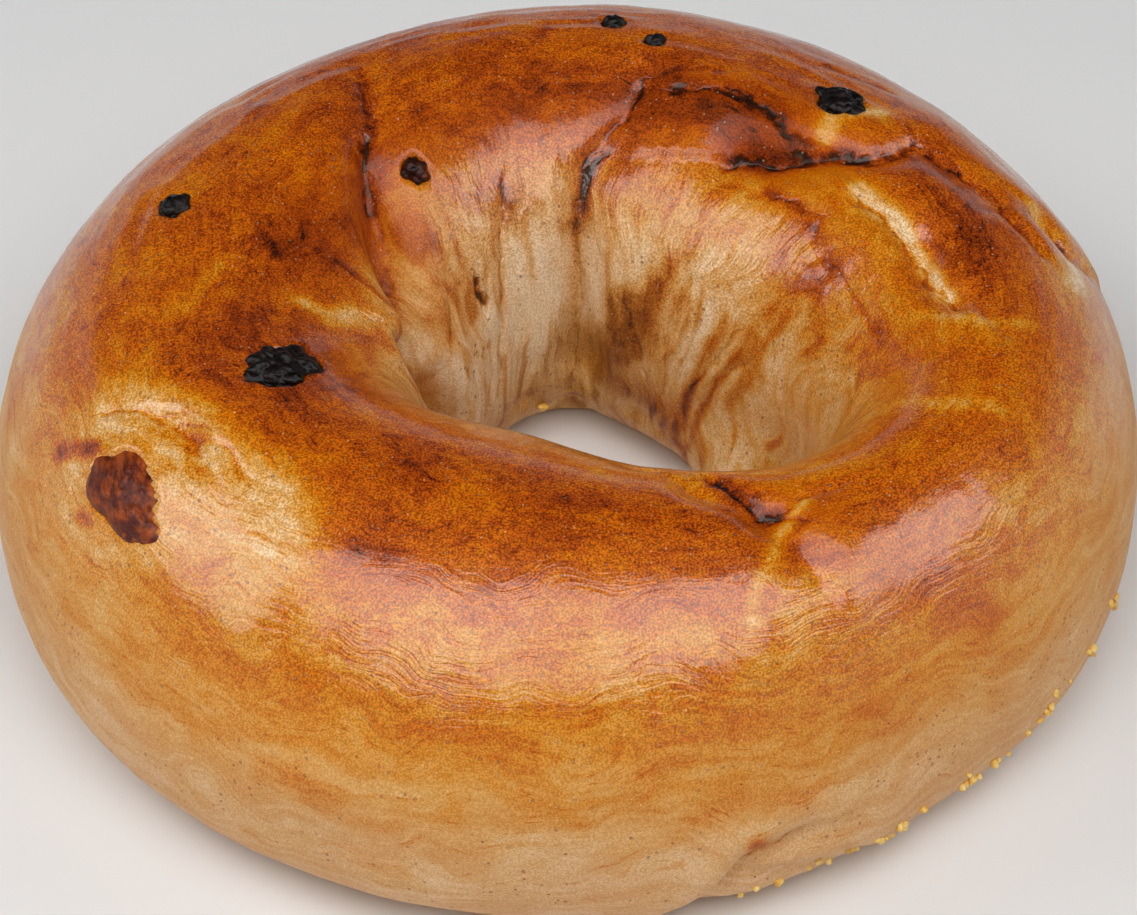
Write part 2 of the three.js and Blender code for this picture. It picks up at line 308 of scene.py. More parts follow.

# Marks of the oven, and painted shade in the left fold and in hollows, as strokes of a brush: path of
# (around, over), half width in mm, soft edge in mm, the bake that they bring, and how strongly.
BAKE_STROKES = {
    # The crown and the inner slope, from the right round the back to the left.
    "rust patch at the rear": ([(74, 104), (62, 105), (50, 104), (44, 106)], 3.2, 2.2, 0.86, 0.85),
    "rust patch's dark core": ([(60, 104), (50, 105)], 1.6, 2.0, 0.93, 0.7),
    "dark rear lap": ([(51, 114), (44, 108), (40, 103), (35, 97), (30, 94)], 0.8, 1.0, 0.95, 0.85),
    "chestnut above the lap": ([(24, 84), (12, 88), (2, 92)], 4.0, 3.5, 0.78, 0.75),
    "dark spots at the right": ([(9, 88), (3, 84)], 1.6, 2.0, 0.86, 0.6),
    "glaze edge on the right mound": (
        [(12, 125), (19, 121), (24, 120), (28, 117), (38, 117)],
        0.5, 0.8, 0.88, 0.8,
    ),
    "glaze edge at the front right": (
        [(4, 128), (357, 126), (351, 122), (343, 117)],
        0.5, 1.2, 0.72, 0.6,
    ),
    "chestnut crown at the back": ([(120, 108), (105, 112), (90, 112), (76, 112)], 4.0, 4.0, 0.76, 0.7),
    "dark crown at the back": ([(100, 104), (88, 101)], 2.0, 3.0, 0.82, 0.55),
    "dark crown left of the fold": ([(178, 112), (168, 114), (158, 117)], 4.4, 3.0, 0.78, 0.7),
    "dark core left of the fold": ([(174, 108), (166, 112)], 2.0, 2.5, 0.84, 0.6),
    "burnt spot by the fold": ([(174, 106), (176, 108)], 0.6, 0.8, 1.0, 0.85),
    # The dark band down the left fold is partly darker crust and partly painted shade of the deep crease.
    "left fold's dark crust and painted shade, upper": (
        [(127, 82), (130, 92), (132, 99), (135, 105), (138, 111)],
        0.8, 1.0, 0.90, 0.85,
    ),
    "left fold's dark crust and painted shade, lower": (
        [(141, 114), (147, 124), (152, 132), (157, 140), (163, 147)],
        1.7, 1.2, 0.84, 0.92,
    ),
    "painted shade in the valley of the fold": ([(150, 122), (156, 131), (163, 138), (169, 145)], 0.9, 0.8, 0.72, 0.8),
    "burnt spots in the fold": ([(169, 147), (176, 145)], 1.0, 1.0, 0.98, 0.8),
    "dark spots on the left lip": ([(188, 138), (192, 132), (196, 134)], 1.0, 1.6, 0.84, 0.7),
    "chestnut round the crown raisin": ([(214, 112), (206, 114), (196, 112)], 3.5, 3.5, 0.82, 0.75),
    "red patch by the crown raisin": ([(213, 103), (217, 97)], 1.6, 1.6, 0.9, 0.7),
    "chestnut behind the crown raisin": (
        [(222, 88), (212, 84), (204, 86), (196, 98)],
        3.2, 3.5, 0.78, 0.75,
    ),
    "chestnut along the front crown": (
        [(232, 94), (250, 90), (270, 89), (292, 90)],
        3.2, 2.6, 0.70, 0.7,
    ),
    "dark streaks on the front crown": ([(240, 96), (246, 88)], 1.6, 2.0, 0.86, 0.6),
    "orange below the front crown": ([(250, 76), (266, 72), (284, 74)], 3.5, 3.5, 0.62, 0.6),
    "dark front seam": ([(297, 110), (298.5, 98), (299, 90), (303, 83)], 0.7, 1.0, 0.95, 0.85),
    "dark front seam, lower": ([(299, 76), (302, 69), (305, 64)], 0.9, 1.2, 0.84, 0.7),
    "orange lobe right of the seam": ([(318, 92), (336, 92), (350, 86)], 6.0, 5.0, 0.60, 0.6),
    "orange shoulder at the right": ([(312, 62), (316, 46), (318, 32)], 2.8, 3.2, 0.66, 0.75),
    # The pale inner wall's brown patches and streaks.
    "brown patch on the inner wall": (
        [(69, 159), (62, 164), (70, 170), (80, 177)],
        2.3, 1.4, 0.74, 0.85,
    ),
    "brown patch's upper part": ([(55, 150), (54, 158), (54, 170)], 1.4, 1.6, 0.64, 0.8),
    "brown patch's dark spots": ([(62, 161), (66, 166), (61, 172), (72, 176)], 0.6, 0.9, 0.88, 0.65),
    "brown under the patch": ([(82, 181), (64, 183), (46, 185)], 2.4, 1.8, 0.66, 0.8),
    "brown upper corner": ([(52, 145), (46, 138), (38, 130)], 0.9, 1.4, 0.62, 0.7),
    "streak down the right wall": ([(20, 160), (24, 172), (29, 184), (34, 200)], 0.35, 0.6, 0.84, 0.8),
    "second streak": ([(28, 160), (31, 174), (35, 190)], 0.4, 0.6, 0.8, 0.7),
    "third streak": ([(33, 176), (37, 190), (40, 202)], 0.4, 0.6, 0.8, 0.7),
    "wide streak": ([(44, 152), (46, 175), (47, 205)], 1.0, 1.2, 0.6, 0.6),
    "amber patch by the pleat": ([(80, 178), (86, 172)], 1.4, 1.6, 0.6, 0.7),
    "dark back pleat": ([(80, 122), (85, 128), (87, 135), (89, 144)], 0.6, 0.8, 0.9, 0.85),
    "brown back pleat": ([(89, 144), (90, 160), (91, 180), (92, 200)], 0.4, 0.8, 0.66, 0.8),
    "brown left of the pleat": ([(99, 112), (103, 120), (106, 132), (110, 142)], 0.7, 1.4, 0.72, 0.6),
    "streak on the rear left wall": ([(113, 134), (116, 146), (119, 160)], 0.5, 1.0, 0.56, 0.6),
    "tan rear left wall": ([(122, 128), (132, 132), (140, 140), (146, 150)], 3.5, 4.0, 0.5, 0.6),
    "foot of the wall": ([(60, 206), (85, 206), (110, 205)], 1.6, 3.0, 0.5, 0.6),
    # Pale places, where the glaze missed, and painted shade in the hollows by the slit and on the blister.
    "pale seam streak": ([(305, 88), (300, 80), (297, 73), (293, 64), (291, 56)], 0.7, 0.8, 0.2, 0.85),
    "pale stripe on the right": ([(334, 112), (333, 97), (336, 76)], 0.7, 0.6, 0.26, 0.8),
    "second stripe on the right": ([(356, 119), (352, 105), (350, 92), (352, 74)], 0.7, 0.7, 0.30, 0.75),
    "pale crack on the right": ([(24, 104), (13, 103), (6, 104), (358, 102)], 1.0, 0.9, 0.08, 0.9),
    "pale mound on the right": ([(24, 130), (14, 132), (6, 134)], 3.0, 3.5, 0.42, 0.7),
    "pale torn pocket at the rear": ([(38, 96), (40, 90), (39, 84), (37, 80)], 1.1, 1.0, 0.14, 0.85),
    "pale scab on the right rim": ([(4, 54), (7, 49), (11, 54), (15, 58)], 1.5, 0.9, 0.18, 0.85),
    "cream skin of the blister": ([(205, 58), (213, 60), (222, 62), (231, 64)], 4.2, 3.5, 0.24, 0.75),
    "pale blister at the left": (
        [(203, 66), (208, 71), (215, 74), (223, 73), (230, 70)],
        2.0, 2.6, 0.18, 0.8,
    ),
    "pale crust round the blister raisin": (
        [(203, 62), (201, 52), (204, 42), (212, 38), (219, 46)],
        2.0, 2.4, 0.22, 0.8,
    ),
    "pale patch below the fold": ([(176, 158), (168, 160), (160, 163)], 1.6, 1.8, 0.12, 0.8),
    "pale lumps by the slit": ([(143, 165), (141, 171)], 1.0, 0.8, 0.0, 0.9),
    "pale lip of the fold": ([(180, 138), (186, 132), (191, 122)], 0.7, 1.0, 0.3, 0.7),
    # Painted shade in the hollow beside the slit.
    "painted shade by the slit": ([(131, 151), (133, 160)], 0.5, 0.6, 0.66, 0.8),
    "golden streak on the left": ([(189, 84), (186, 90), (179, 96)], 0.6, 0.8, 0.42, 0.8),
    "second golden streak": ([(190, 76), (190, 86), (188, 97)], 0.8, 0.9, 0.46, 0.8),
    "pale rear wall by the slit": ([(136, 172), (146, 170)], 2.0, 2.0, 0.05, 0.7),
    "brown streak at the top of the wall": ([(120, 134), (115, 130), (110, 130)], 0.5, 0.8, 0.7, 0.7),
    "stain on the left wall": ([(140, 140), (146, 148), (149, 159)], 0.8, 1.2, 0.55, 0.7),
    "gold in the fold": ([(140, 123), (147, 136), (154, 148)], 0.7, 0.9, 0.40, 0.7),
    "cream smear on the left lip": ([(187, 115), (188, 122), (184, 129)], 0.8, 0.9, 0.12, 0.8),
    "red pit on the back crown": ([(98, 106), (96, 108)], 0.7, 0.8, 0.9, 0.8),
    "brown spot on the right mound": ([(11, 117)], 1.4, 1.6, 0.62, 0.7),
    "golden crown left of the fold": ([(134, 84), (141, 90), (147, 98)], 3.0, 4.0, 0.56, 0.6),
    "golden crown right of the fold": ([(121, 84), (118, 94), (116, 100)], 2.4, 3.0, 0.60, 0.6),
    "cream right of the blister raisin": ([(219, 52), (221, 60), (226, 66)], 2.2, 2.6, 0.26, 0.6),
    "orange ring round the blister": ([(198, 46), (201, 37), (206, 32), (213, 31)], 0.7, 1.0, 0.46, 0.7),
    # Painted shade in the hollow on the blister.
    "painted shade in the blister's hollow": ([(210, 70), (213, 72), (215, 70)], 0.5, 0.7, 0.44, 0.8),
    "raisin's torn tail": ([(200, 43), (202, 47), (204, 52)], 0.9, 0.5, 0.93, 0.95),
    "raisin's dark spot": ([(208, 39), (209, 40)], 0.7, 0.5, 0.93, 0.9),
    "cream left of the blister raisin": ([(203, 44), (206, 37), (210, 34)], 1.8, 2.0, 0.20, 0.75),
    "pale edge of the slit": ([(124, 155), (125, 162)], 0.5, 0.5, 0.0, 0.9),
    "brown mottles at the lower left": ([(226, 20), (231, 16), (234, 19)], 1.1, 1.6, 0.48, 0.6),
    "brown patch above the flap": ([(282, 10), (288, 13), (294, 9)], 1.6, 2.0, 0.50, 0.7),
    # The outer side.
    "golden band at the front": (
        [(226, 33), (246, 34), (268, 34), (290, 34), (304, 30)],
        2.6, 3.0, 0.47, 0.7,
    ),
    "brown oval at the lower front": ([(239, 13), (242, 15), (246, 12)], 1.2, 1.4, 0.54, 0.75),
    "small streak at the lower front": ([(262, 24), (266, 18), (271, 14)], 0.5, 0.9, 0.55, 0.7),
    "golden streak at the lower right": ([(302, 26), (304, 20), (306, 15)], 0.8, 1.4, 0.5, 0.6),
    "dark pit of the base flap": ([(288.5, 1), (290, -3)], 0.7, 0.8, 0.9, 0.9),
    "purple spots on the front shoulder": ([(241, 67), (246, 70)], 1.0, 1.4, 0.86, 0.7),
    "swirl on the front shoulder": ([(259, 66), (262, 71), (265, 68)], 0.8, 1.0, 0.8, 0.6),
    "brown back shoulder": ([(120, 70), (132, 74), (142, 72)], 3.0, 4.0, 0.7, 0.6),
    "red spots at the left": ([(169, 49), (169.5, 52)], 0.4, 0.5, 0.92, 0.8),
    "red spot at the back": ([(94, 83), (95, 85)], 0.9, 0.8, 0.9, 0.8),
}


def periodic(around, values):
    """A smooth blend of the values at the back, left, front and right."""
    back, left, front, right = values
    turn = np.radians(around)
    mean = (back + left + front + right) / 4
    sideways = (right - left) / 2
    lengthways = (back - front) / 2
    twice = (right + left - back - front) / 4
    return mean + sideways * np.cos(turn) + lengthways * np.sin(turn) + twice * np.cos(2 * turn)


def stroke_cover(places, out, path, width, soft):
    """How far a stroke covers each place, from 0 to 1."""
    nearest = path_distance(places, out, path)[0]
    return step_up(nearest, width, -soft * 0.35)


def painted_bake(around, over, places, out):
    """The bake of each place on the crust, before the finest mottling."""
    wander = np.stack([rough_noise(places, 7, seed) for seed in (11, 12, 13)], -1)
    level = level_of(over + 8 * noise(places, 9, 21))
    rows = np.array(BAKE_ROWS)
    columns = [np.interp(level, rows[:, 0], rows[:, i]) for i in range(1, 5)]
    bake = periodic(around, columns)
    bake += 0.07 * rough_noise(places, 6, 31)
    for path, width, soft, target, strength in BAKE_STROKES.values():
        brushed = places + min(1.5, 0.4 * width + 0.2) * wander
        bake += (target - bake) * strength * stroke_cover(brushed, out, path, width, soft)
    return np.clip(bake, 0, 1)


def line_fields(places, out):
    """The nearest line of each family: how far off it is, in half widths, and how dark; and the relief."""
    offsets = np.full((len(places), FAMILIES), 5.0)
    strengths = np.zeros((len(places), FAMILIES))
    relief = np.zeros(len(places))
    closest = np.full((len(places), FAMILIES), np.inf)
    for family, path, width, depth, darkness in LINES.values():
        nearest, side, _ = path_distance(places, out, path)
        closer = nearest < closest[:, family]
        closest[closer, family] = nearest[closer]
        offsets[closer, family] = (nearest * np.where(side < 0, -1, 1) / width)[closer]
        strengths[closer, family] = darkness * np.exp(-(nearest / 1.4) ** 4)[closer]
        relief -= depth * np.exp(-(nearest / (0.35 + width)) ** 2)
    return np.clip(offsets, -6, 6), strengths, relief


# Raisins: place, extent in mm round the ring, over the dough and through the crust, turn in degrees,
# depth of its middle under the crust, number of lobes.
RAISINS = {
    "raisin_crown": ((206.5, 102.5), (5.8, 8.6, 4.2), 6, 0.9, 5),
    "raisin_blister": ((211.5, 51), (12.4, 7.8, 3.4), -6, 1.1, 3),
    "raisin_rear": ((42.5, 84), (5.8, 5.0, 3.8), 10, 1.0, 4),
    "raisin_left": ((168, 78), (3.2, 3.6, 3.2), 20, 0.9, 3),
    "raisin_hole": ((132, 120), (2.6, 3.2, 2.8), 0, 0.8, 3),
    "raisin_back": ((83.5, 79.5), (2.8, 2.4, 2.6), 0, 0.8, 3),
    "raisin_back_small": ((76, 87), (2.6, 2.2, 2.4), 30, 0.8, 3),
}
LOBE_DEPTH = 0.09

# How deep a raisin's wrinkles are, where it is smoother than the others.
WRINKLED = {"raisin_blister": 0.4}


def raisin_outline(bearing, lobes):
    """The radius of a raisin's lobed edge against a plain ellipse, at a bearing in radians."""
    return 1 + LOBE_DEPTH * (np.cos(lobes * bearing + 1) + 0.6 * np.cos((lobes + 3) * bearing))


def pocket_relief(places, raisin):
    """The crust drops away inside a raisin's outline and swells a little round it."""
    at, size, turned, sunk, lobes = raisin
    round_ring, upward, out = directions(*at)
    offset = places - smooth_ring(*at)
    right, ahead, depth = offset @ round_ring, offset @ upward, offset @ out
    turn = radians(turned)
    right, ahead = right * cos(turn) + ahead * sin(turn), ahead * cos(turn) - right * sin(turn)
    shown = np.sqrt(1 - (sunk / (size[2] / 2)) ** 2)
    right, ahead = right / (size[0] / 2 * shown), ahead / (size[1] / 2 * shown)
    edge = np.hypot(right, ahead) / raisin_outline(np.arctan2(ahead, right), lobes)
    edge += 0.12 * noise(places, 1.3, 91)
    from_edge = (edge - 1) * min(size[:2]) / 2
    inside = step_up(from_edge, 0, -0.16)
    rim = np.exp(-((from_edge - 0.5) / 0.5) ** 2) * max(0, min(size[:2]) - 3) / 5
    return np.where(np.abs(depth) < 8, -1.5 * inside + 0.22 * rim, 0)


def crust_points(around, over):
    """Points of the crust in millimetres, and the same places and their outward way on the smooth ring."""
    places = smooth_ring(around, over)
    out = directions(around, over)[2]
    relief = sum(groove_relief(places, out, groove) for groove in GROOVES.values())
    relief += sum(mound_relief(places, mound) for mound in MOUNDS.values())
    crust = places + out * relief[:, None]
    return crust, places, out


def fine_relief(around, over, places, out):
    """What is too small for the CAD part: lumps, pleats, wrinkles, and the lips round the raisins."""
    turn = np.radians(around)
    level = level_of(over)
    relief = 0.16 * rough_noise(places, 9, 41) + 0.05 * rough_noise(places, 3, 44)
    pleats = np.stack([14 * np.cos(turn), 14 * np.sin(turn), 0.05 * level], -1)
    folded = 1 - 2.2 * np.abs(noise(pleats + 0.5 * noise(places, 8, 45)[:, None], 3.4, 46))
    rear_wall = step_up(level, 132, 8) * bump(apart(around, 112), 0, 62)
    relief += 0.42 * folded * rear_wall
    wrinkles = np.stack([9 * np.cos(turn), 9 * np.sin(turn), 0.42 * level], -1)
    creased = 1 - 2.5 * np.abs(noise(wrinkles + 0.7 * noise(places, 7, 47)[:, None], 2.0, 48))
    back_shoulder = bump(level, 70, 26) * bump(apart(around, 115), 0, 95)
    relief += 0.14 * creased * back_shoulder
    relief += sum(pocket_relief(places, raisin) for raisin in RAISINS.values())
    return relief


def new_piece(name, points, faces, material, smooth=True):
    mesh = bpy.data.meshes.new(name)
    mesh.from_pydata([tuple(p) for p in points], [], faces)
    mesh.polygons.foreach_set("use_smooth", [smooth] * len(mesh.polygons))
    mesh.materials.append(material)
    mesh.validate()
    piece = bpy.data.objects.new(name, mesh)
    bpy.context.scene.collection.objects.link(piece)
    return piece


def store(mesh, name, values, kind="FLOAT"):
    """Keeps a value for each vertex, for the material to read."""
    attribute = mesh.attributes.new(name, kind, "POINT")
    field = "value" if kind == "FLOAT" else "vector"
    attribute.data.foreach_set(field, np.asarray(values, np.float32).ravel())


# Where the glaze missed: the share that is gone, the place over the dough and its reach, and the place
# round the ring and its reach.
DULL_PLACES = {
    "left fold": (0.95, 134, 28, 152, 20),
    "rear lap": (0.92, 102, 15, 46, 26),
    "front seam": (0.85, 84, 18, 303, 8),
}


def paint_crust(mesh, around, over, places, out, offsets, strengths):
    """Keeps what the crust's material reads at each vertex."""
    level = level_of(over)
    turn = np.radians(around)
    store(mesh, "bake", painted_bake(around, over, places, out))
    swirl = np.stack([rough_noise(places, 9, seed) for seed in (53, 57, 61)], -1) * (0.12, 0.12, 0.40)
    ring = np.stack([np.cos(turn), np.sin(turn), level * 0.04], -1) + swirl
    store(mesh, "ring", ring, "FLOAT_VECTOR")
    store(mesh, "offsets", offsets, "FLOAT_VECTOR")
    store(mesh, "strengths", strengths, "FLOAT_VECTOR")
    front = bump(apart(around, 268), 0, 60)
    shoulder = bump(level, 56, 24)
    low_edge = bump(level, 44, 9)
    store(mesh, "ripples", (0.35 + 0.65 * front) * (0.55 * shoulder + 0.7 * low_edge))
    store(mesh, "streaks", step_up(level, 122, 6))
    store(mesh, "unglazed", bump(apart(around, 90), 0, 62) * step_up(level, 140, 6))
    rear = bump(apart(around, 105), 0, 75)
    glaze = step_up(level, 34, 7) * (1 - 0.75 * step_up(level, 150, 8))
    glaze *= 1 - 0.6 * bump(level, 112, 12) * rear
    for share, at_level, reach_over, at_around, reach_round in DULL_PLACES.values():
        missed = share * bump(level, at_level, reach_over)
        glaze *= 1 - missed * bump(apart(around, at_around), 0, reach_round)
    store(mesh, "glaze", np.clip(glaze * (1 + 0.25 * noise(places, 8, 51)), 0, 1))
    # Flour on the underside, the lower side and the rear wall; on the lower side its pale pinkish cast is
    # also painted sheen.
    flour_and_sheen = 1.1 * step_up(level, 10, -9) + 0.7 * rear * bump(level, 158, 26)
    store(mesh, "flour_and_sheen", np.clip(flour_and_sheen * (1 + 0.3 * noise(places, 6, 52)), 0, 1))


def crust_piece(material):
    steps = np.arange(STEPS_OVER) / STEPS_OVER * 2 * pi
    overs = 90 + np.degrees(steps - CROWN_CROWDING * np.sin(steps))
    arounds = np.arange(STEPS_AROUND) * 360 / STEPS_AROUND
    around, over = (grid.ravel() for grid in np.meshgrid(arounds, overs, indexing="ij"))
    crust, places, out = crust_points(around, over)
    offsets, strengths, creases = line_fields(places, out)
    crust += out * (fine_relief(around, over, places, out) + creases)[:, None]
    crust[:, 2] = np.maximum(0, crust[:, 2] - SETTLED)
    here = np.arange(STEPS_AROUND)[:, None] * STEPS_OVER + np.arange(STEPS_OVER)
    beside = np.roll(here, -1, axis=0)
    faces = np.stack([here, beside, np.roll(beside, -1, axis=1), np.roll(here, -1, axis=1)], -1)
    piece = new_piece("crust", crust * MM, faces.reshape(-1, 4).tolist(), material)
    paint_crust(piece.data, around, over, places, out, offsets, strengths)
    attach(piece, "root")
    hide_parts("bagel")
    return piece


def raisin_piece(name, material):
    at, size, turned, sunk, lobes = RAISINS[name]
    ball = bmesh.new()
    bmesh.ops.create_icosphere(ball, subdivisions=6 if max(size) > 5 else 5, radius=1)
    points = np.array([v.co for v in ball.verts])
    faces = [[v.index for v in f.verts] for f in ball.faces]
    ball.free()
    bearing = np.arctan2(points[:, 1], points[:, 0])
    level = np.hypot(points[:, 0], points[:, 1])
    points *= (1 + level * (raisin_outline(bearing, lobes) - 1))[:, None]
    points *= np.array(size) / 2
    around, over = at
    round_ring, upward, out = directions(around, over)
    centre = crust_points(np.array([around]), np.array([over]))[0][0] - sunk * out
    turn = radians(turned)
    ahead = upward * cos(turn) - round_ring * sin(turn)
    right = round_ring * cos(turn) + upward * sin(turn)
    lumps = np.abs(noise(points, 1.3, 61)) - 0.35
    wrinkles = np.abs(noise(points + 0.4 * lumps[:, None], 0.6, 62)) - 0.3
    pucker = WRINKLED.get(name, 1) * (0.55 * lumps + 0.24 * wrinkles)
    points *= (1 + pucker / np.linalg.norm(points, axis=1))[:, None]
    placed = centre + points @ np.stack([right, ahead, out])
    placed[:, 2] -= SETTLED
    piece = new_piece(name + "_skin", placed * MM, faces, material)
    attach(piece, "root")
    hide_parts(name)
    return piece


class Shader:
    """A material's nodes, made one after another."""

    def __init__(self, name):
        self.material = bpy.data.materials.new(name)
        self.material.use_nodes = True
        self.tree = self.material.node_tree
        self.surface = self.tree.nodes["Principled BSDF"]

    def node(self, kind, inputs=None, **settings):
        made = self.tree.nodes.new(kind)
        for setting, value in settings.items():
            setattr(made, setting, value)
        for socket, value in (inputs or {}).items():
            self.set(made, socket, value)
        return made

    def set(self, node, socket, value):
        if isinstance(value, bpy.types.NodeSocket):
            self.tree.links.new(value, node.inputs[socket])
        else:
            node.inputs[socket].default_value = value

    def attribute(self, name, output="Fac"):
        return self.node("ShaderNodeAttribute", attribute_name=name).outputs[output]

    def place(self):
        return self.node("ShaderNodeTexCoord").outputs["Object"]

    def math(self, operation, a, b=0.0, clamp=False):
        return self.node("ShaderNodeMath", {0: a, 1: b}, operation=operation, use_clamp=clamp).outputs[0]

    def spread(self, value, low, high, to_low=0.0, to_high=1.0):
        """value carried from low..high to to_low..to_high, and held there."""
        names = {"Value": value, "From Min": low, "From Max": high, "To Min": to_low, "To Max": to_high}
        return self.node("ShaderNodeMapRange", names, interpolation_type="SMOOTHSTEP").outputs[0]

    def noise(self, size, detail=3.0, where=None, rough=0.55):
        """Noise whose features are about that many millimetres wide."""
        where = where or self.place()
        inputs = {"Vector": where, "Scale": 1000 / size, "Detail": detail, "Roughness": rough}
        return self.node("ShaderNodeTexNoise", inputs).outputs["Fac"]

    def scaled(self, vector, factors):
        return self.node("ShaderNodeMapping", {"Vector": vector, "Scale": factors}).outputs[0]

    def ridge(self, value, width):
        """Thin winding lines where a noise crosses its middle."""
        return self.spread(self.math("ABSOLUTE", self.math("SUBTRACT", value, 0.5)), width, 0.0)

    def dots(self, spacing, size, share):
        """Small round dots about that many mm apart, in a share of the places that could have one."""
        cells = self.node("ShaderNodeTexVoronoi", {"Vector": self.place(), "Scale": 1000 / spacing})
        drawn = self.node("ShaderNodeSeparateColor", {"Color": cells.outputs["Color"]}).outputs[0]
        kept = self.spread(drawn, share, share - 0.05)
        edge = size / spacing
        return self.math("MULTIPLY", self.spread(cells.outputs["Distance"], edge * 1.6, edge), kept)

    def ramp(self, value, stops):
        made = self.node("ShaderNodeValToRGB", {"Fac": value})
        elements = made.color_ramp.elements
        while len(elements) < len(stops):
            elements.new(0.5)
        for element, (at, colour) in zip(elements, stops):
            element.position = at
            element.color = linear(colour)
        return made.outputs["Color"]

    def mix(self, factor, a, b):
        return self.node("ShaderNodeMix", {0: factor, 6: a, 7: b}, data_type="RGBA").outputs[2]

    def bumped(self, *heights):
        """The normal of a skin with all these heights on it, each a value and how many mm it stands for."""
        total = 0.0
        for value, millimetres in heights:
            total = self.math("ADD", total, self.math("MULTIPLY", value, millimetres))
        inputs = {"Height": total, "Distance": MM, "Strength": 1.0}
        return self.node("ShaderNodeBump", inputs).outputs[0]

    def finish(self, **inputs):
        for socket, value in inputs.items():
            self.set(self.surface, socket.replace("_", " "), value)
        return self.material


def linear(colour):
    """A colour written as a hex number, as Blender's linear one."""
    parts = [(colour >> shift & 255) / 255 for shift in (16, 8, 0)]
    return (*[p / 12.92 if p <= 0.04045 else ((p + 0.055) / 1.055) ** 2.4 for p in parts], 1)


# Flour's colour, which also stands for the painted pale sheen on the lower side.
FLOUR_AND_SHEEN = 0xCFA482
DARK_PORE = 0x6A2408
PALE_PORE = 0xF0D0A0
CORNMEAL = (0xE0A838, 0xF0CE78)

# The crust's colour at each bake.
CRUST_COLOURS = [
    (0.00, 0xF0D6AE),
    (0.12, 0xE4BE8E),
    (0.25, 0xD49C50),
    (0.38, 0xCC8214),
    (0.50, 0xC06600),
    (0.62, 0xB45402),
    (0.74, 0x983C02),
    (0.85, 0x742800),
    (0.94, 0x421402),
    (1.00, 0x1A0906),
]

# The colours of the unglazed wall of the hole, which bakes to olive brown.
WALL_COLOURS = [
    (0.00, 0xF0DDB6),
    (0.12, 0xE6C896),
    (0.25, 0xDAAE6C),
    (0.38, 0xC89246),
    (0.50, 0xB47A2C),
    (0.62, 0x9C6018),
    (0.74, 0x82480A),
    (0.85, 0x5E3006),
    (0.94, 0x381804),
    (1.00, 0x1A0A04),
]


